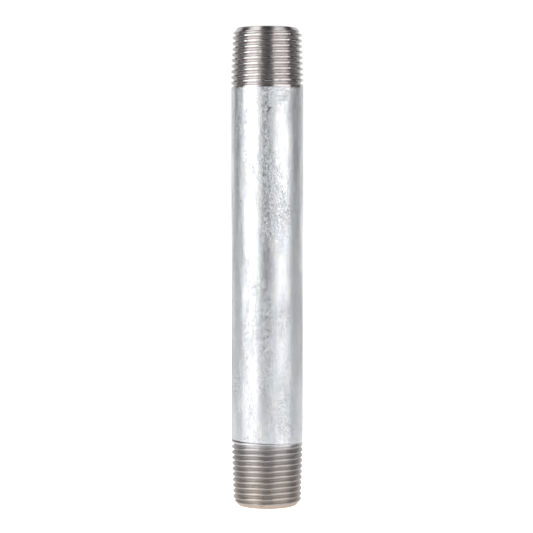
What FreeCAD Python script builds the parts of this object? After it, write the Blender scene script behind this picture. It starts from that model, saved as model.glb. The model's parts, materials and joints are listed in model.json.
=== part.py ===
import FreeCAD, Part
import math
import os

# Galvanised steel pipe nipple: a 4 1/2 in. length of 3/8 in. welded pipe with a right-hand
# taper thread cut on each end after galvanising, so the threads are bare steel.
# Millimetres. +Z runs along the pipe, and Z = 0 is the end face that it stands on.

# The pipe
LENGTH = 4.5 * 25.4
OUTSIDE_RADIUS = 17.2 / 2
BORE_RADIUS = 12.6 / 2
ZINC = 0.08
STEEL_RADIUS = OUTSIDE_RADIUS - ZINC
STEEL_BORE_RADIUS = BORE_RADIUS + ZINC

# The thread: 3/8 in. taper pipe thread, 19 threads per inch, Whitworth form, 1 in 16
PITCH = 25.4 / 19
RADIUS_TAPER = 1 / 32
FLANK_ANGLE = math.radians(27.5)
GAUGE_RADIUS = 16.662 / 2
GAUGE_LENGTH = 6.4
SHARP_HEIGHT = PITCH / (2 * math.tan(FLANK_ANGLE))
THREAD_DEPTH = SHARP_HEIGHT * 2 / 3
ROUNDING = 0.137329 * PITCH

# Where the threads end and where their spirals lie. A crest passes each crest height at +X.
LOWER_SHOULDER = 15.8
UPPER_SHOULDER = LENGTH - 14.3
LOWER_CREST_HEIGHT = 14.64
UPPER_CREST_HEIGHT = 100.6
BARE_COLLAR = 0.75
RUNOUT_TURNS = 0.6

# The end faces
END_FACE_RADIUS = 7.05
END_CHAMFER_ANGLE = math.radians(40)
REAMED_EDGE = 0.25
REAMED_RADIUS = STEEL_BORE_RADIUS + REAMED_EDGE

# The welded seam, a strip through the whole wall. Its place and spread are in turns.
SEAM_MIDDLE = 0.32
SEAM_WIDTH = 1.6
SEAM_SPREAD = SEAM_WIDTH / STEEL_RADIUS / (2 * math.pi)

# How finely the threaded surface is worked out
ROWS_PER_PITCH = 20
COLUMNS_PER_TURN = 48


def groove_wall(across):
    """Height of the groove's wall above its root, at a distance across from its middle."""
    across = abs(across)
    root_edge = ROUNDING * math.cos(FLANK_ANGLE)
    crest_edge = PITCH / 2 - root_edge
    if across <= root_edge:
        return ROUNDING - math.sqrt(ROUNDING**2 - across**2)
    if across <= crest_edge:
        return across / math.tan(FLANK_ANGLE) - SHARP_HEIGHT / 6
    from_crest = max(0, PITCH / 2 - across)
    return THREAD_DEPTH - ROUNDING + math.sqrt(ROUNDING**2 - from_crest**2)


def thread_surface(height, angle, crest_height, distance_of, last_distance):
    """Radius of the threaded surface at a height, and at an angle in turns.

    distance_of gives the distance of a height from the pipe's end. The groove lifts out of
    the steel over RUNOUT_TURNS, so that it is gone at last_distance.
    """
    distance = distance_of(height)
    crest = GAUGE_RADIUS + (distance - GAUGE_LENGTH) * RADIUS_TAPER
    radius = min(STEEL_RADIUS, END_FACE_RADIUS + distance * math.tan(END_CHAMFER_ANGLE))
    groove_height = crest_height + PITCH * (angle + 0.5)
    nearest = round((height - groove_height) / PITCH)
    groove_middle = groove_height + nearest * PITCH
    groove_distance = distance_of(groove_middle)
    runout = RUNOUT_TURNS * PITCH
    lift = max(0, (groove_distance - last_distance) / runout + 1) * THREAD_DEPTH
    wall = crest - THREAD_DEPTH + groove_wall(height - groove_middle) + lift
    return min(radius, wall)


def on_pipe(radius, turns, height):
    angle = turns * 2 * math.pi
    return FreeCAD.Vector(radius * math.cos(angle), radius * math.sin(angle), height)


def spline(points):
    """A smooth curve through points that are evenly spaced in its parameter."""
    curve = Part.BSplineCurve()
    steps = len(points) - 1
    curve.interpolate(Points=points, Parameters=[i / steps for i in range(steps + 1)])
    return curve


def threaded_surface(start, turns, heights, *thread):
    """The threaded outside over a range of heights, from the angle start and round."""
    low, high = heights
    rows = math.ceil((high - low) / PITCH * ROWS_PER_PITCH)
    columns = max(4, math.ceil(turns * COLUMNS_PER_TURN))
    lengthwise = []
    for column in range(columns + 1):
        angle = start + turns * column / columns
        levels = [low + (high - low) * row / rows for row in range(rows + 1)]
        radii = [thread_surface(height, angle, *thread) for height in levels]
        points = [on_pipe(radius, angle, height) for radius, height in zip(radii, levels)]
        lengthwise.append(spline(points))
    crosswise = [spline(list(poles)) for poles in zip(*(c.getPoles() for c in lengthwise))]
    along, around = lengthwise[0], crosswise[0]
    surface = Part.BSplineSurface()
    surface.buildFromPolesMultsKnots(
        [curve.getPoles() for curve in crosswise],
        along.getMultiplicities(),
        around.getMultiplicities(),
        along.getKnots(),
        around.getKnots(),
        False,
        False,
        along.Degree,
        around.Degree,
    )
    return surface


def radial_edge(angle, near, far):
    """A straight edge between two points of (radius, height) at one angle."""
    return Part.makeLine(on_pipe(near[0], angle, near[1]), on_pipe(far[0], angle, far[1]))


def face_inside(edges):
    return Part.Face(Part.Wire(Part.__sortEdges__(edges)))


def end_ring(rim, height, start, turns):
    """The flat face at one end of a sector, from the reamed edge out to the rim."""
    angles = (start, start + turns / 2, start + turns)
    reamed = Part.Arc(*[on_pipe(REAMED_RADIUS, angle, height) for angle in angles])
    corners = (REAMED_RADIUS, height), (END_FACE_RADIUS, height)
    sides = [radial_edge(angle, *corners) for angle in (start, start + turns)]
    return face_inside([rim, reamed.toShape()] + sides)


def wall_sector(start, turns):
    """The threaded steel wall over part of a turn, as one closed solid."""
    lower_thread = (LOWER_CREST_HEIGHT, lambda z: z, LOWER_SHOULDER - BARE_COLLAR)
    upper_thread = (UPPER_CREST_HEIGHT, lambda z: LENGTH - z, LENGTH - UPPER_SHOULDER)
    lower = threaded_surface(start, turns, (0, LOWER_SHOULDER), *lower_thread)
    upper = threaded_surface(start, turns, (UPPER_SHOULDER, LENGTH), *upper_thread)
    barrel = Part.makeRuledSurface(lower.uIso(1).toShape(), upper.uIso(0).toShape())
    faces = [
        lower.toShape(),
        barrel,
        upper.toShape(),
        end_ring(lower.uIso(0).toShape(), 0, start, turns),
        end_ring(upper.uIso(1).toShape(), LENGTH, start, turns),
    ]
    bore = [
        (END_FACE_RADIUS, 0),
        (REAMED_RADIUS, 0),
        (STEEL_BORE_RADIUS, REAMED_EDGE),
        (STEEL_BORE_RADIUS, LENGTH - REAMED_EDGE),
        (REAMED_RADIUS, LENGTH),
        (END_FACE_RADIUS, LENGTH),
    ]
    for near, far in zip(bore[1:], bore[2:-1]):
        edge = radial_edge(start, near, far)
        faces.append(edge.revolve(FreeCAD.Vector(), FreeCAD.Vector(0, 0, 1), turns * 360))
    shoulders = (STEEL_RADIUS, LOWER_SHOULDER), (STEEL_RADIUS, UPPER_SHOULDER)
    for side in (0, 1):
        angle = start + side * turns
        outline = [radial_edge(angle, near, far) for near, far in zip(bore, bore[1:])]
        outline += [surface.vIso(side).toShape() for surface in (lower, upper)]
        faces.append(face_inside(outline + [radial_edge(angle, *shoulders)]))
    shell = Part.Compound(faces)
    shell.sewShape()
    solid = Part.Solid(shell.Shells[0])
    if solid.Volume < 0:
        solid.reverse()
    return solid


def tube(inner_radius, outer_radius, low, high):
    outer = Part.makeCylinder(outer_radius, high - low, FreeCAD.Vector(0, 0, low))
    inner = Part.makeCylinder(inner_radius, high - low, FreeCAD.Vector(0, 0, low))
    return outer.cut(inner)


def seam_weld():
    """The weld that closes the rolled strip into a pipe, dressed flush inside and out."""
    return wall_sector(SEAM_MIDDLE - SEAM_SPREAD / 2, SEAM_SPREAD)


def pipe_wall():
    """The rolled steel strip, from one side of the weld round to the other."""
    return wall_sector(SEAM_MIDDLE + SEAM_SPREAD / 2, 1 - SEAM_SPREAD)


def zinc_coat_outside():
    """The galvanised skin that is left on the barrel between the threads."""
    return tube(STEEL_RADIUS, OUTSIDE_RADIUS, LOWER_SHOULDER, UPPER_SHOULDER)


def zinc_coat_bore():
    """The galvanised skin in the bore, up to the reamed edges."""
    return tube(BORE_RADIUS, STEEL_BORE_RADIUS, REAMED_EDGE, LENGTH - REAMED_EDGE)


os.makedirs("parts", exist_ok=True)
for make in (pipe_wall, seam_weld, zinc_coat_outside, zinc_coat_bore):
    shape = make()
    shape.exportStep(f"parts/{make.__name__}.step")
    print(make.__name__, shape.isValid(), round(shape.Volume, 1))
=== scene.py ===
import json
import math

import bmesh
import bpy
import numpy as np
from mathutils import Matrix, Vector


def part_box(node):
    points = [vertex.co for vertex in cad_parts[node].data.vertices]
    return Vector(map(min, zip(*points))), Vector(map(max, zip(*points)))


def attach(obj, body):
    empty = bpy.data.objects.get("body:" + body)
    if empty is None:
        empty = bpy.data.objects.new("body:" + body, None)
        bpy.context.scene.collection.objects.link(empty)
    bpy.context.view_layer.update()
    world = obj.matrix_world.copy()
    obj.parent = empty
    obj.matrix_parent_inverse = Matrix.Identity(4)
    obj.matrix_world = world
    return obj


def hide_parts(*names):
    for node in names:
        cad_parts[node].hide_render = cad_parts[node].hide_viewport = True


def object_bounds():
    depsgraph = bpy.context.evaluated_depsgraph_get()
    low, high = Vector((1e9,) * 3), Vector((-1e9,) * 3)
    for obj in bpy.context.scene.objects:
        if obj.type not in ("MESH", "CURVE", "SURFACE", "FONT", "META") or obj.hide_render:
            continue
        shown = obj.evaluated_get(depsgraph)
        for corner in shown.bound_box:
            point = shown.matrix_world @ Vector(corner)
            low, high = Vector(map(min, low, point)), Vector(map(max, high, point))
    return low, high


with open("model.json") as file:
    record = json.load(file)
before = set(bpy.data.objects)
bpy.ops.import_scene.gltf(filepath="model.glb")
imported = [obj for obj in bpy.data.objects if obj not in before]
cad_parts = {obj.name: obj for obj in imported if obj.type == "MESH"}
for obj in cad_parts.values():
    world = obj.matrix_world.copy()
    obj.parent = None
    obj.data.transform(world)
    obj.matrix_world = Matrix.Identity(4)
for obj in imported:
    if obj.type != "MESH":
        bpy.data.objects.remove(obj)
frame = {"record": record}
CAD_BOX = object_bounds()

# A galvanised pipe nipple, standing on its lower end. Metres, in the frame of the CAD model.
# Angles about the pipe are in turns from +X, and the camera looks at it from -Y.

MM = 0.001

# The pipe, from the CAD model
LENGTH = CAD_BOX[1].z
ZINC_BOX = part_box("zinc_coat_outside")
OUTSIDE_RADIUS = ZINC_BOX[1].x
LOWER_SHOULDER = ZINC_BOX[0].z
UPPER_SHOULDER = ZINC_BOX[1].z
MOUNTS = {mount["name"]: mount for mount in frame["record"]["mounts"]}
BORE_RADIUS = MOUNTS["bore"]["dims"]["r_mm"] * MM
ZINC = 0.08 * MM
STEEL_RADIUS = OUTSIDE_RADIUS - ZINC
STEEL_BORE_RADIUS = BORE_RADIUS + ZINC

# The thread: 3/8 in. taper pipe thread, 19 threads per inch, Whitworth form, 1 in 16
PITCH = 25.4 * MM / 19
RADIUS_TAPER = 1 / 32
FLANK_ANGLE = math.radians(27.5)
GAUGE_RADIUS = 16.662 * MM / 2
GAUGE_LENGTH = 6.4 * MM
SHARP_HEIGHT = PITCH / (2 * math.tan(FLANK_ANGLE))
THREAD_DEPTH = SHARP_HEIGHT * 2 / 3
ROUNDING = 0.137329 * PITCH
# A crest of each thread passes its crest height at +X.
LOWER_CREST_HEIGHT = 14.64 * MM
UPPER_CREST_HEIGHT = 100.6 * MM
# Steel left plain between the end of the lower thread's grooves and the zinc
BARE_COLLAR = 0.30 * MM
RUNOUT_TURNS = 0.35

# How the cut threads differ from the true form: metal raised over the crests, metal left on
# the flanks, rounding of the crest, radius of the root's corners and depth of its flat. The
# upper crests are flat and sharp, the lower ones round.
UPPER_BURR = 0.12 * MM
LOWER_BURR = 0.03 * MM
UPPER_FORM = 0.10 * MM, 0.04 * MM, 0.08 * MM, 0.68 * MM
LOWER_FORM = 0.16 * MM, 0.30 * MM, ROUNDING, 0.72 * MM
UPPER_TEARING = 0.012 * MM
LOWER_TEARING = 0.008 * MM
# The raised crests stay inside the CAD model's box.
WIDEST_RADIUS = CAD_BOX[1].y

# The end faces
END_FACE_RADIUS = 7.05 * MM
END_CHAMFER_ANGLE = math.radians(40)
REAMED_EDGE = 0.25 * MM
REAMED_RADIUS = STEEL_BORE_RADIUS + REAMED_EDGE
EDGE_ROUND = 0.07 * MM

# The zinc on the barrel: how far its surface lies under the CAD model's, the unit of its
# relief, how its two edges are rounded, how far out of square the lower edge is and where
# that fades out, and the gap between the zinc and the steel
SKIN_INSET = 0.022 * MM
RELIEF_UNIT = 0.001 * MM
SKIN_LOWER_ROUND = 0.05 * MM
SKIN_UPPER_ROUND = 0.16 * MM
SKIN_SKEW = 0.22 * MM
SKEW_END = 40 * MM
SKIN_GAP = 0.01 * MM
# The zinc in the bore: how much wider than the CAD model's it is, and the size of its relief
BORE_INSET = 0.02 * MM
BORE_RELIEF = 0.012 * MM

# The weld
SEAM_MIDDLE = 0.32
SEAM_WIDTH = 1.6 * MM
SEAM_SPREAD = SEAM_WIDTH / STEEL_RADIUS / (2 * math.pi)

# Mesh fineness. The rows over a rounded edge are given as shares of its reach.
THREAD_ROWS_PER_PITCH = 18
THREAD_COLUMNS = 200
WELD_COLUMNS = 7
END_EDGE_ROWS = np.array([0, 0.12, 0.4])
SKIN_EDGE_ROWS = np.array([0, 0.3, 0.7, 1])
SKIN_COLUMNS = 240
SKIN_ROWS = 230
BORE_ROWS = 120
SHARP_ANGLE = math.radians(50)


# ---------------------------------------------------------------- shapes


def waves(turn, height, seed, count, longest, shortest, stretch=1.0):
    """A random gentle relief of about unit size that closes on itself round the pipe."""
    rng = np.random.default_rng(seed)
    relief = np.zeros(np.broadcast(turn, height).shape)
    girth = 2 * math.pi * OUTSIDE_RADIUS
    for _ in range(count):
        length = longest * (shortest / longest) ** rng.random()
        lean = rng.random() * 2 * math.pi
        around = round(girth / length * math.cos(lean))
        along = 2 * math.pi / (length * stretch) * math.sin(lean)
        phase = rng.random() * 2 * math.pi
        relief += np.cos(2 * math.pi * around * turn + along * height + phase)
    return relief / math.sqrt(count / 2)


def spot(turn, height, at_turn, at_height, wide, tall):
    """A smooth spot, 1 at its middle."""
    apart = (turn - at_turn + 0.5) % 1 - 0.5
    across = apart * 2 * math.pi * OUTSIDE_RADIUS / wide
    return np.exp(-(across**2) - ((height - at_height) / tall) ** 2)


def groove_wall(across, root_round):
    """Height of the groove's wall above its nominal root, at a distance from its middle."""
    across = np.minimum(np.abs(across), PITCH / 2)
    root_edge = root_round * math.cos(FLANK_ANGLE)
    root_middle = root_round / math.sin(FLANK_ANGLE) - SHARP_HEIGHT / 6
    root = root_middle - np.sqrt(root_round**2 - np.minimum(across, root_edge) ** 2)
    flank = across / math.tan(FLANK_ANGLE) - SHARP_HEIGHT / 6
    from_crest = np.minimum(PITCH / 2 - across, ROUNDING * math.cos(FLANK_ANGLE))
    crest = THREAD_DEPTH - ROUNDING + np.sqrt(ROUNDING**2 - from_crest**2)
    return np.where(across <= root_edge, root, np.minimum(flank, crest))


def soft_min(a, b, reach):
    """The smaller of two radii, with the corner between them rounded over the reach."""
    share = np.clip(0.5 + (b - a) / (2 * reach), 0, 1)
    return b + (a - b) * share - reach * share * (1 - share)


def thread_radius(turn, height, crest_height, distance, last_distance, burr, form):
    """Radius of the threaded steel at each angle and height, and its depth in a groove.

    The distance function says how far a height is from the pipe's end, and the grooves have
    run out at the last distance.
    """
    crest = GAUGE_RADIUS + (distance(height) - GAUGE_LENGTH) * RADIUS_TAPER
    envelope = np.minimum(crest, STEEL_RADIUS) + burr
    fill, rounding, root_round, flat_depth = form
    groove_height = crest_height + PITCH * (turn + 0.5)
    nearest = np.round((height - groove_height) / PITCH)
    middle = groove_height + nearest * PITCH
    runout = RUNOUT_TURNS * PITCH
    lift = np.maximum(0, (distance(middle) - last_distance) / runout + 1) * THREAD_DEPTH
    wall = crest - THREAD_DEPTH + groove_wall(height - middle, root_round) + lift + burr + fill
    wall = np.maximum(wall, np.maximum(envelope, crest + burr) - flat_depth + lift)
    radius = soft_min(envelope, wall, rounding)
    return radius, np.clip((envelope - radius) / THREAD_DEPTH, 0, 1)


# Knocks on the threads: angle in turns, height, depth, width round the pipe, height of spot
UPPER_KNOCKS = [
    (0.515, 109.6 * MM, 0.28 * MM, 0.8 * MM, 0.5 * MM),
    (0.60, 106.2 * MM, 0.16 * MM, 0.5 * MM, 0.4 * MM),
    (0.745, 106.4 * MM, 0.18 * MM, 0.3 * MM, 0.35 * MM),
    (0.93, 103.8 * MM, 0.15 * MM, 0.7 * MM, 0.3 * MM),
    (0.985, 112.4 * MM, 0.18 * MM, 0.6 * MM, 0.3 * MM),
    (0.21, 108.0 * MM, 0.2 * MM, 0.6 * MM, 0.4 * MM),
]
LOWER_KNOCKS = [
    (0.53, 7.4 * MM, 0.1 * MM, 0.7 * MM, 0.35 * MM),
    (0.76, 10.9 * MM, 0.07 * MM, 0.9 * MM, 0.25 * MM),
    (0.90, 9.8 * MM, 0.09 * MM, 0.6 * MM, 0.3 * MM),
    (0.15, 5.2 * MM, 0.14 * MM, 0.6 * MM, 0.4 * MM),
]


def rough_crests(turn, height, radius, depth, seed, tearing):
    """The torn, chattered surface that the die leaves, strongest on the crests."""
    tears = waves(
        turn, height, seed, count=40, longest=2.5 * MM, shortest=0.35 * MM, stretch=0.6
    )
    chatter = waves(
        turn, height, seed + 1, count=24, longest=0.9 * MM, shortest=0.3 * MM, stretch=8
    )
    return radius + tearing * ((1 - depth) * tears + 0.35 * chatter)


def rounded_end(radius, distance):
    """Trims a radius to the end chamfer, whose edge with the end face is rounded."""
    chamfer = END_FACE_RADIUS + distance * math.tan(END_CHAMFER_ANGLE)
    left = np.clip(1 - distance / EDGE_ROUND, 0, 1)
    return np.minimum(radius, chamfer - EDGE_ROUND * (1 - np.sqrt(1 - left**2)))


def knocked(turn, height, radius, depth, knocks):
    """Dents the crests at each knock, and leaves the grooves as they are."""
    for at_turn, at_height, deep, wide, tall in knocks:
        radius = radius - deep * (1 - depth) * spot(turn, height, at_turn, at_height, wide, tall)
    return radius


def upper_outside(turn, height):
    """Radius and groove depth of the upper thread, whose burr grows towards the shoulder."""
    def distance(z):
        return LENGTH - z

    last = LENGTH - UPPER_SHOULDER
    burr = UPPER_BURR * np.clip(distance(height) / last, 0, 1)
    radius, depth = thread_radius(
        turn, height, UPPER_CREST_HEIGHT, distance, last, burr, UPPER_FORM
    )
    radius = rough_crests(turn, height, radius, depth, seed=11, tearing=UPPER_TEARING)
    radius = knocked(turn, height, radius, depth, UPPER_KNOCKS)
    radius = np.minimum(radius, WIDEST_RADIUS)
    return rounded_end(radius, distance(height)), depth


def lower_outside(turn, height):
    """Radius and groove depth of the lower thread, whose distance from its end is its height."""
    last = LOWER_SHOULDER - BARE_COLLAR
    radius, depth = thread_radius(
        turn, height, LOWER_CREST_HEIGHT, lambda z: z, last, LOWER_BURR, LOWER_FORM
    )
    radius = rough_crests(turn, height, radius, depth, seed=21, tearing=LOWER_TEARING)
    radius = knocked(turn, height, radius, depth, LOWER_KNOCKS)
    return rounded_end(radius, height), depth


def solid(name, turns, radius, height, closed, values=None):
    """A closed mesh from closed outlines of radius and height, one column for each angle."""
    rows, columns = radius.shape
    angle = turns[None, :] * 2 * math.pi
    points = np.stack([radius * np.cos(angle), radius * np.sin(angle), height], axis=-1)
    index = np.arange(rows * columns).reshape(rows, columns)
    below, above = index, np.roll(index, -1, axis=0)
    if closed:
        sides = below, np.roll(below, -1, axis=1), np.roll(above, -1, axis=1), above
    else:
        sides = below[:, :-1], below[:, 1:], above[:, 1:], above[:, :-1]
    faces = np.stack([side.ravel() for side in sides], axis=-1).tolist()
    if not closed:
        faces.append(index[:, 0].tolist())
        faces.append(index[::-1, -1].tolist())
    mesh = bpy.data.meshes.new(name)
    mesh.from_pydata(points.reshape(-1, 3).tolist(), [], faces)
    if values is not None:
        layer = mesh.attributes.new("groove", "FLOAT", "POINT")
        layer.data.foreach_set("value", values.ravel())
    work = bmesh.new()
    work.from_mesh(mesh)
    bmesh.ops.recalc_face_normals(work, faces=work.faces)
    work.to_mesh(mesh)
    work.free()
    mesh.shade_smooth()
    mesh.set_sharp_from_angle(angle=SHARP_ANGLE)
    piece = bpy.data.objects.new(name, mesh)
    bpy.context.collection.objects.link(piece)
    return piece


def rings(values, columns):
    """Rows that each hold one value all the way round."""
    return np.tile(np.array(values)[:, None], (1, columns))


def thread_rows(end):
    """Distances from the pipe's end of the rows of points over a thread."""
    step = PITCH / THREAD_ROWS_PER_PITCH
    return np.append(EDGE_ROUND * END_EDGE_ROWS, np.arange(EDGE_ROUND, end, step))


def steel_sector(name, start, spread, columns):
    """The threaded steel wall over part of a turn, as one outline up the outside, down the bore."""
    turns = start + spread * np.linspace(0, 1, columns)
    lower = thread_rows(LOWER_SHOULDER)
    upper = LENGTH - thread_rows(LENGTH - UPPER_SHOULDER)[::-1]
    lower_radius, lower_depth = lower_outside(turns[None, :], lower[:, None])
    upper_radius, upper_depth = upper_outside(turns[None, :], upper[:, None])
    under_skin = rings([STEEL_RADIUS - SKIN_GAP] * 2, columns)
    bore = rings([REAMED_RADIUS, STEEL_BORE_RADIUS, STEEL_BORE_RADIUS, REAMED_RADIUS], columns)
    bore_heights = [LENGTH, LENGTH - REAMED_EDGE, REAMED_EDGE, 0]
    heights = [*lower, LOWER_SHOULDER, UPPER_SHOULDER, *upper, *bore_heights]
    radius = np.vstack([lower_radius, under_skin, upper_radius, bore])
    depth = np.vstack([lower_depth, 0 * under_skin, upper_depth, 0 * bore])
    return solid(name, turns, radius, rings(heights, columns), False, depth)


def skin_relief(turn, height):
    """The zinc's relief: long runs down the pipe, soft lumps and a faint line at the weld."""
    runs = waves(turn, height, seed=31, count=30, longest=6 * MM, shortest=1.6 * MM, stretch=7)
    lumps = waves(turn, height, seed=32, count=60, longest=7 * MM, shortest=1.2 * MM)
    grain = waves(turn, height, seed=33, count=80, longest=1.3 * MM, shortest=0.7 * MM)
    apart = (turn - SEAM_MIDDLE + 0.5) % 1 - 0.5
    over_weld = np.exp(-((apart / SEAM_SPREAD * 2) ** 2))
    return (0.7 * runs + 0.9 * lumps + 0.8 * grain + 14 * over_weld) * RELIEF_UNIT


def skin_edge(last_row, past_edge):
    """Radii where the skin's edge curves in to the steel, at shares of the way past the edge."""
    return STEEL_RADIUS + (last_row - STEEL_RADIUS) * np.sqrt(1 - past_edge**2)


def zinc_outside():
    """The skin on the barrel. Its lower edge was trimmed a little out of square."""
    turns = np.arange(SKIN_COLUMNS) / SKIN_COLUMNS
    turn = turns[None, :]
    bottom = LOWER_SHOULDER + SKIN_LOWER_ROUND
    top = UPPER_SHOULDER - SKIN_UPPER_ROUND
    straight = np.linspace(bottom, top, SKIN_ROWS)[:, None]
    skew = SKIN_SKEW * np.cos(2 * math.pi * (turn - 0.5))
    share = np.clip((SKEW_END - straight) / (SKEW_END - LOWER_SHOULDER), 0, 1)
    height = straight + skew * share
    radius = OUTSIDE_RADIUS - SKIN_INSET + skin_relief(turn, height)
    radius = np.minimum(radius, WIDEST_RADIUS)
    past_bottom = 1 - SKIN_EDGE_ROWS[:-1, None]
    past_top = SKIN_EDGE_ROWS[1:, None]
    low_height = height[:1] - SKIN_LOWER_ROUND * past_bottom
    top_height = height[-1:] + SKIN_UPPER_ROUND * past_top
    low_radius = skin_edge(radius[:1], past_bottom)
    top_radius = skin_edge(radius[-1:], past_top)
    return solid(
        "zinc_skin_outside",
        turns,
        np.vstack([low_radius, radius, top_radius]),
        np.vstack([low_height, height, top_height]),
        True,
    )


def zinc_bore():
    """The skin in the bore: its wavy face up the inside, and back down against the steel."""
    turns = np.arange(SKIN_COLUMNS) / SKIN_COLUMNS
    heights = np.linspace(REAMED_EDGE, LENGTH - REAMED_EDGE, BORE_ROWS)
    relief = waves(
        turns[None, :],
        heights[:, None],
        seed=41,
        count=60,
        longest=9 * MM,
        shortest=1.6 * MM,
        stretch=2,
    )
    inner = BORE_RADIUS + BORE_INSET + relief * BORE_RELIEF
    outer = rings([STEEL_BORE_RADIUS] * 2, SKIN_COLUMNS)
    return solid(
        "zinc_skin_bore",
        turns,
        np.vstack([inner, outer]),
        rings([*heights, LENGTH - REAMED_EDGE, REAMED_EDGE], SKIN_COLUMNS),
        True,
    )


# ---------------------------------------------------------------- materials


class Nodes:
    """Short names for the node tree of one material."""

    def __init__(self, name):
        self.material = bpy.data.materials.new(name)
        self.material.use_nodes = True
        self.tree = self.material.node_tree
        self.shader = self.tree.nodes["Principled BSDF"]

    def add(self, kind, **settings):
        node = self.tree.nodes.new(kind)
        for key, value in settings.items():
            setattr(node, key, value)
        return node

    def link(self, source, target):
        self.tree.links.new(source, target)

    def put(self, socket, value):
        if isinstance(value, bpy.types.NodeSocket):
            self.link(value, socket)
        else:
            socket.default_value = value

    def math(self, operation, a, b=0.0, clamp=False):
        node = self.add("ShaderNodeMath", operation=operation, use_clamp=clamp)
        self.put(node.inputs[0], a)
        self.put(node.inputs[1], b)
        return node.outputs[0]

    def millimetres(self, scale):
        """Object coordinates in millimetres, stretched by scale."""
        place = self.add("ShaderNodeTexCoord").outputs["Object"]
        node = self.add("ShaderNodeVectorMath", operation="MULTIPLY")
        self.link(place, node.inputs[0])
        node.inputs[1].default_value = [part / MM for part in scale]
        return node.outputs[0]

    def height(self):
        place = self.add("ShaderNodeTexCoord").outputs["Object"]
        node = self.add("ShaderNodeSeparateXYZ")
        self.link(place, node.inputs[0])
        return node.outputs["Z"]

    def round_the_pipe(self):
        """The direction round the pipe's axis, which is also the direction of the tool marks."""
        place = self.add("ShaderNodeTexCoord").outputs["Object"]
        node = self.add("ShaderNodeVectorMath", operation="CROSS_PRODUCT")
        node.inputs[0].default_value = (0, 0, 1)
        self.link(place, node.inputs[1])
        return node.outputs[0]

    def noise(self, scale, size=1.0, detail=4.0, rough=0.5, distortion=0.0):
        node = self.add("ShaderNodeTexNoise")
        self.link(self.millimetres(scale), node.inputs["Vector"])
        node.inputs["Scale"].default_value = size
        node.inputs["Detail"].default_value = detail
        node.inputs["Roughness"].default_value = rough
        node.inputs["Distortion"].default_value = distortion
        return node.outputs["Fac"]

    def spread(self, value, low, high, to_low=0.0, to_high=1.0, smooth=False):
        kind = "SMOOTHSTEP" if smooth else "LINEAR"
        node = self.add("ShaderNodeMapRange", clamp=True, interpolation_type=kind)
        for socket, setting in zip(node.inputs, (value, low, high, to_low, to_high)):
            self.put(socket, setting)
        return node.outputs["Result"]

    def mix(self, factor, a, b):
        node = self.add("ShaderNodeMix", data_type="RGBA")
        self.put(node.inputs["Factor"], factor)
        for socket, colour in ((node.inputs[6], a), (node.inputs[7], b)):
            if isinstance(colour, tuple):
                colour = (*colour, 1.0)
            self.put(socket, colour)
        return node.outputs[2]

    def window(self, value, edges, strength=1.0):
        """The strength between the two inner edges, fading to nothing at the outer two."""
        rise = self.spread(value, edges[0], edges[1], 0.0, strength)
        fall = self.spread(value, edges[2], edges[3], 1.0, 0.0)
        return self.math("MULTIPLY", rise, fall)

    def tint(self, colour, other, where, strength):
        """The colour, mixed with another by a mask and a strength."""
        return self.mix(self.math("MULTIPLY", where, strength), colour, other)

    def bump(self, height, distance, under=None):
        node = self.add("ShaderNodeBump")
        node.inputs["Distance"].default_value = distance
        self.link(height, node.inputs["Height"])
        if under is not None:
            self.link(under, node.inputs["Normal"])
        return node.outputs["Normal"]

    def set(self, **sockets):
        for key, value in sockets.items():
            self.put(self.shader.inputs[key.replace("_", " ")], value)
        return self.material


# The zinc's colours, how strongly they mix in, and how metallic its dull and bare patches are
ZINC_BLOOM = (0.66, 0.68, 0.80)
ZINC_BLOOM_STRENGTH = 0.32
ZINC_PALE = (0.74, 0.84, 0.84)
ZINC_PALE_STRENGTH = 0.30
GRIME_SHARE, STREAK_SHARE, PATCH_SHARE = 0.75, 0.10, 0.15
METALLIC_DULL, METALLIC_BARE = 0.80, 0.88
# The barrel's foot is whiter with oxide than its top, so it is less metallic.
OXIDE_AT_FOOT = 0.08
# Heights of the spangle, of its veins, which are cracks, and of the patches
SPANGLE_RELIEF = 0.055 * MM
VEIN_RELIEF = -0.020 * MM
PATCH_RELIEF = 0.006 * MM

# The steel's colours, and how strongly they mix in
OIL_NEAR_BARREL = (0.42, 0.40, 0.40)
OIL_AT_FOOT = (0.46, 0.41, 0.36)
OIL_UPPER = (0.60, 0.57, 0.57)
OIL_LOWER_STRENGTH, OIL_UPPER_STRENGTH = 0.7, 0.5
GROOVE_DIRT = (0.12, 0.105, 0.10)
GROOVE_DIRT_STRENGTH = 0.25
PEACH = (0.74, 0.57, 0.45)
PEACH_STRENGTH = 0.5
ZINC_SMEAR = (0.90, 0.90, 0.91)
ZINC_SMEAR_STRENGTH = 0.7
SCRIBED_LINE = (0.07, 0.07, 0.075)
SCRIBED_LINE_STRENGTH = 0.8
RUST = (0.20, 0.085, 0.035)
RUST_STRENGTH = 0.75
# Roughness that the lower thread, rust and the grooves' roots add to the cut steel's own
LOWER_ROUGHNESS = 0.12
RUST_ROUGHNESS = 0.35
ROOT_ROUGHNESS = 0.14
# Depths of the turned lines and of the fine pits
TURNED_RELIEF = 0.004 * MM
PITTED_RELIEF = 0.003 * MM


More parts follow.
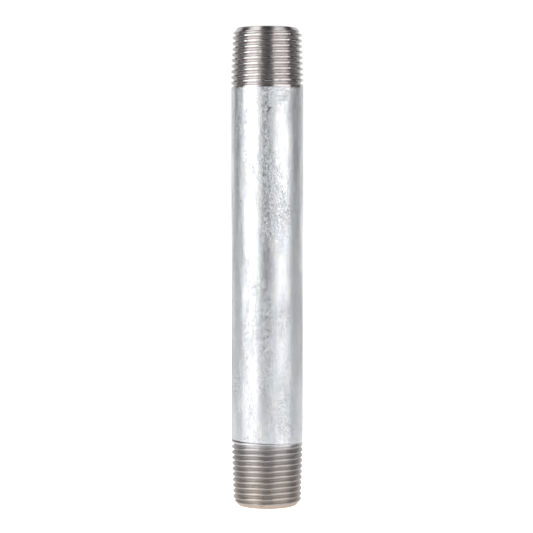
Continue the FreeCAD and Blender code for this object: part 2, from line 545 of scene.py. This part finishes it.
def zinc_material(name, light, dark, rough_low, rough_high):
    """Hot-dip zinc: a bright skin under thin matt oxide, with feathery spangle and streaks."""
    n = Nodes(name)
    feathers = n.noise((1, 1, 0.75), size=1.25, detail=3, rough=0.6, distortion=2.6)
    veins = n.math("ABSOLUTE", n.math("SUBTRACT", feathers, 0.5))
    veins = n.spread(veins, 0.0, 0.05, 1.0, 0.0)
    patches = n.spread(n.noise((1, 1, 0.3), size=0.30, detail=3), 0.40, 0.60)
    streaks = n.spread(n.noise((1, 1, 0.06), size=1.3, detail=4), 0.34, 0.68)
    grime = n.math("MULTIPLY", veins, n.spread(patches, 0, 1, 0.3, 1.0))
    dirty = n.math("MULTIPLY", grime, GRIME_SHARE)
    shade = n.math("ADD", dirty, n.math("MULTIPLY", streaks, STREAK_SHARE))
    shade = n.math("ADD", shade, n.math("MULTIPLY", patches, PATCH_SHARE), clamp=True)
    colour = n.mix(shade, light, dark)
    bloom = n.spread(n.noise((1, 1, 0.5), size=0.35, detail=2), 0.45, 0.62)
    colour = n.tint(colour, ZINC_BLOOM, bloom, ZINC_BLOOM_STRENGTH)
    pale = n.spread(n.noise((1, 1, 0.25), size=0.42, detail=2), 0.50, 0.66)
    colour = n.tint(colour, ZINC_PALE, pale, ZINC_PALE_STRENGTH)
    roughness = n.spread(shade, 0, 1, rough_low, rough_high)
    bare = n.spread(patches, 0, 1, METALLIC_DULL, METALLIC_BARE)
    oxide = n.spread(n.height(), 0.12 * LENGTH, 0.75 * LENGTH, OXIDE_AT_FOOT, 0.0)
    bare = n.math("SUBTRACT", bare, oxide)
    spangle = n.noise((1, 1, 0.8), size=1.7, detail=5, rough=0.65, distortion=1.8)
    fine = n.bump(spangle, SPANGLE_RELIEF)
    cracked = n.bump(grime, VEIN_RELIEF, under=fine)
    coarse = n.bump(n.noise((1, 1, 0.35), size=0.7, detail=3), PATCH_RELIEF, under=cracked)
    return n.set(Base_Color=colour, Metallic=bare, Roughness=roughness, Normal=coarse)


def steel_material(name, light, dark, rough_low, rough_high):
    """Die-cut steel: lines turned round the pipe, dull dirty roots and traces of rust.

    The lower thread is duller and browner than the upper. Its end chamfer is peach, and under
    the zinc's edge lie a dark scribed line and a pale smear of zinc.
    """
    n = Nodes(name)
    height = n.height()
    groove = n.add("ShaderNodeAttribute", attribute_name="groove").outputs["Fac"]
    lines = n.noise((0.25, 0.25, 7), size=1.0, detail=4, rough=0.6)
    blotch = n.spread(n.noise((1, 1, 1), size=0.55, detail=4), 0.35, 0.68)
    colour = n.mix(blotch, light, dark)
    upper = n.spread(height, 0.3 * LENGTH, 0.7 * LENGTH)
    lower = n.math("SUBTRACT", 1.0, upper)
    oil = n.mix(n.spread(height, 3 * MM, 13 * MM), OIL_AT_FOOT, OIL_NEAR_BARREL)
    oil = n.mix(upper, oil, OIL_UPPER)
    oily = n.spread(upper, 0, 1, OIL_LOWER_STRENGTH, OIL_UPPER_STRENGTH)
    colour = n.mix(oily, colour, oil)
    colour = n.tint(colour, GROOVE_DIRT, n.spread(groove, 0.55, 1.0), GROOVE_DIRT_STRENGTH)
    end = n.spread(height, 0.5 * MM, 1.2 * MM, 1.0, 0.0)
    colour = n.tint(colour, PEACH, end, PEACH_STRENGTH)
    smeared = n.spread(height, LOWER_SHOULDER - 1.1 * MM, LOWER_SHOULDER - 0.8 * MM)
    smeared = n.math("MULTIPLY", smeared, lower)
    colour = n.tint(colour, ZINC_SMEAR, smeared, ZINC_SMEAR_STRENGTH)
    scribed = n.spread(height, LOWER_SHOULDER - 0.20 * MM, LOWER_SHOULDER - 0.14 * MM)
    scribed = n.math("MULTIPLY", scribed, lower)
    colour = n.tint(colour, SCRIBED_LINE, scribed, SCRIBED_LINE_STRENGTH)
    spots = n.spread(n.noise((1, 1, 2.2), size=1.1, detail=6, rough=0.65), 0.60, 0.70)
    rust = n.math("MULTIPLY", spots, RUST_STRENGTH)
    colour = n.mix(rust, colour, RUST)
    metallic = n.math("SUBTRACT", 1.0, n.math("MULTIPLY", rust, 0.8), clamp=True)
    roughness = n.spread(lines, 0.3, 0.7, rough_low, rough_high)
    roughness = n.math("ADD", roughness, n.math("MULTIPLY", lower, LOWER_ROUGHNESS))
    roughness = n.math("ADD", roughness, n.math("MULTIPLY", rust, RUST_ROUGHNESS))
    in_root = n.spread(groove, 0.66, 0.76, 0.0, ROOT_ROUGHNESS)
    roughness = n.math("ADD", roughness, in_root, clamp=True)
    turned = n.bump(lines, TURNED_RELIEF)
    pitted = n.bump(n.noise((1, 1, 1), size=4, detail=3), PITTED_RELIEF, under=turned)
    return n.set(
        Base_Color=colour,
        Metallic=metallic,
        Roughness=roughness,
        Normal=pitted,
        Anisotropic=0.7,
        Anisotropic_Rotation=0.25,
        Tangent=n.round_the_pipe(),
    )


# ---------------------------------------------------------------- studio


def panel(name, azimuth, width, height, middle, away, radiance, elevation=0):
    """A soft panel, turned from the camera's side of the pipe, facing a point on its axis."""
    data = bpy.data.lights.new(name, "AREA")
    data.shape = "RECTANGLE"
    data.size = width
    data.size_y = height
    data.energy = radiance * math.pi * width * height
    lamp = bpy.data.objects.new(name, data)
    angle = math.radians(azimuth)
    rise = math.radians(elevation)
    target = Vector((0, 0, middle))
    level = Vector((math.sin(angle), -math.cos(angle), 0))
    lamp.location = target + away * (level * math.cos(rise) + Vector((0, 0, math.sin(rise))))
    lamp.rotation_euler = (target - lamp.location).to_track_quat("-Z", "Y").to_euler()
    lamp.visible_camera = False
    bpy.context.collection.objects.link(lamp)


def studio():
    """A tall softbox on each side, a dim glow behind, and two small panels for the top rim."""
    tall = {"height": 1.50, "middle": 0.75, "away": 0.62}
    panel("left_softbox", azimuth=-57, width=0.54, radiance=2.5, **tall)
    panel("left_softbox_edge", azimuth=-28, width=0.13, radiance=1.0, **tall)
    panel("right_softbox", azimuth=50, width=0.68, radiance=1.6, **tall)
    panel("backdrop_glow", azimuth=180, width=2.0, height=1.0, middle=0.5, away=0.9, radiance=0.8)
    over = {"width": 0.26, "height": 0.24, "middle": LENGTH, "away": 0.6, "elevation": 66}
    panel("left_overhead", azimuth=-98, radiance=1.3, **over)
    panel("right_overhead", azimuth=98, radiance=0.9, **over)


def backdrop():
    """White to the camera, and a dim room to what the metal reflects."""
    world = bpy.data.worlds.new("room")
    world.use_nodes = True
    bpy.context.scene.world = world
    tree = world.node_tree
    tree.nodes.clear()
    room = tree.nodes.new("ShaderNodeBackground")
    room.inputs["Color"].default_value = (0.035, 0.035, 0.04, 1)
    white = tree.nodes.new("ShaderNodeBackground")
    white.inputs["Color"].default_value = (1, 1, 1, 1)
    path = tree.nodes.new("ShaderNodeLightPath")
    choice = tree.nodes.new("ShaderNodeMixShader")
    out = tree.nodes.new("ShaderNodeOutputWorld")
    tree.links.new(path.outputs["Is Camera Ray"], choice.inputs["Fac"])
    tree.links.new(room.outputs[0], choice.inputs[1])
    tree.links.new(white.outputs[0], choice.inputs[2])
    tree.links.new(choice.outputs[0], out.inputs["Surface"])


FLOOR_HALF = 3.0
# Light that the floor sends up to the metal. The beams lie before the softboxes and carry
# their reflections on down the pipe. They are bounded by four bearings in radians from the
# camera's side, and the reach by four distances from the pipe.
POOL_GLOW = 0.65
BEHIND_GLOW = 0.5
LEFT_BEAM = -1.45, -1.36, -0.62, -0.40
LEFT_BEAM_GLOW = 0.85
RIGHT_BEAM = 0.32, 0.42, 1.32, 1.42
RIGHT_BEAM_GLOW = 0.62
BEAM_REACH = 0.02, 0.10, 0.62, 0.80
# The floor's colour: painted light near the pipe, painted shade far off, even to the camera
NEAR_PAINTED_LIGHT = (0.5, 0.5, 0.5)
FAR_PAINTED_SHADE = (0.05, 0.05, 0.05)
CAMERA_SHADE = (0.8, 0.8, 0.8)


def floor():
    """Plain and pure white to the camera, and a soft pool of light to what the metal reflects."""
    mesh = bpy.data.meshes.new("floor")
    half = FLOOR_HALF
    corners = [(-half, -half, 0), (half, -half, 0), (half, half, 0), (-half, half, 0)]
    mesh.from_pydata(corners, [], [(0, 1, 2, 3)])
    piece = bpy.data.objects.new("floor", mesh)
    bpy.context.collection.objects.link(piece)
    n = Nodes("pale_floor")
    path = n.add("ShaderNodeLightPath").outputs["Is Camera Ray"]
    place = n.add("ShaderNodeTexCoord").outputs["Object"]
    away = n.add("ShaderNodeVectorMath", operation="LENGTH")
    n.link(place, away.inputs[0])
    away = away.outputs["Value"]
    side = n.add("ShaderNodeSeparateXYZ")
    n.link(place, side.inputs[0])
    pool = n.spread(away, 0.02, 0.16, POOL_GLOW, 0.0, smooth=True)
    behind = n.spread(side.outputs["Y"], 0.0, 0.12, 0.0, BEHIND_GLOW)
    bearing = n.math("ARCTAN2", side.outputs["X"], n.math("MULTIPLY", side.outputs["Y"], -1.0))
    left = n.window(bearing, LEFT_BEAM, LEFT_BEAM_GLOW)
    right = n.window(bearing, RIGHT_BEAM, RIGHT_BEAM_GLOW)
    beams = n.math("MULTIPLY", n.math("ADD", left, right), n.window(away, BEAM_REACH))
    glow = n.math("ADD", n.math("ADD", pool, behind), beams)
    # Painted pool of light in the floor's colour: lighter near the pipe, painted shade far from it
    shade = n.mix(n.spread(away, 0.10, 0.40), NEAR_PAINTED_LIGHT, FAR_PAINTED_SHADE)
    mesh.materials.append(
        n.set(
            Base_Color=n.mix(path, shade, CAMERA_SHADE),
            Roughness=0.9,
            Emission_Color=(1, 1, 1, 1),
            Emission_Strength=n.spread(path, 0, 1, glow, 1.0),
        )
    )


FOCAL_LENGTH = 121.1
CAMERA_PLACE = Vector((-0.18 * MM, -0.430, 0.0777))
CAMERA_AIM = Vector((-0.18 * MM, 0, 0.0574))


def camera():
    """Looks along +Y from a little above the middle of the pipe."""
    data = bpy.data.cameras.new("camera")
    data.lens = FOCAL_LENGTH
    data.clip_start = 0.01
    piece = bpy.data.objects.new("camera", data)
    piece.location = CAMERA_PLACE
    piece.rotation_euler = (CAMERA_AIM - CAMERA_PLACE).to_track_quat("-Z", "Y").to_euler()
    bpy.context.collection.objects.link(piece)
    bpy.context.scene.camera = piece


# ---------------------------------------------------------------- assembly


def hand_over(piece, node, material):
    """Rides the piece in place of its CAD node, with its finish."""
    piece.data.materials.append(material)
    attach(piece, "root")
    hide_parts(node)


seam_start = SEAM_MIDDLE - SEAM_SPREAD / 2
wall = steel_sector("threaded_wall", seam_start + SEAM_SPREAD, 1 - SEAM_SPREAD, THREAD_COLUMNS)
weld = steel_sector("weld_strip", seam_start, SEAM_SPREAD, WELD_COLUMNS)
skin = zinc_outside()
lining = zinc_bore()

bare = steel_material(
    "bare_steel",
    light=(0.72, 0.69, 0.68),
    dark=(0.54, 0.51, 0.50),
    rough_low=0.22,
    rough_high=0.30,
)
welded = steel_material(
    "weld_steel",
    light=(0.68, 0.65, 0.64),
    dark=(0.50, 0.48, 0.47),
    rough_low=0.26,
    rough_high=0.34,
)
zinc = zinc_material(
    "zinc_outside",
    light=(0.92, 0.92, 0.93),
    dark=(0.38, 0.40, 0.43),
    rough_low=0.13,
    rough_high=0.24,
)
dull_zinc = zinc_material(
    "zinc_inside",
    light=(0.70, 0.71, 0.73),
    dark=(0.44, 0.45, 0.48),
    rough_low=0.40,
    rough_high=0.55,
)

hand_over(wall, "pipe_wall", bare)
hand_over(weld, "seam_weld", welded)
hand_over(skin, "zinc_coat_outside", zinc)
hand_over(lining, "zinc_coat_bore", dull_zinc)

camera()
studio()
backdrop()
floor()
bpy.context.scene.view_settings.view_transform = "Standard"
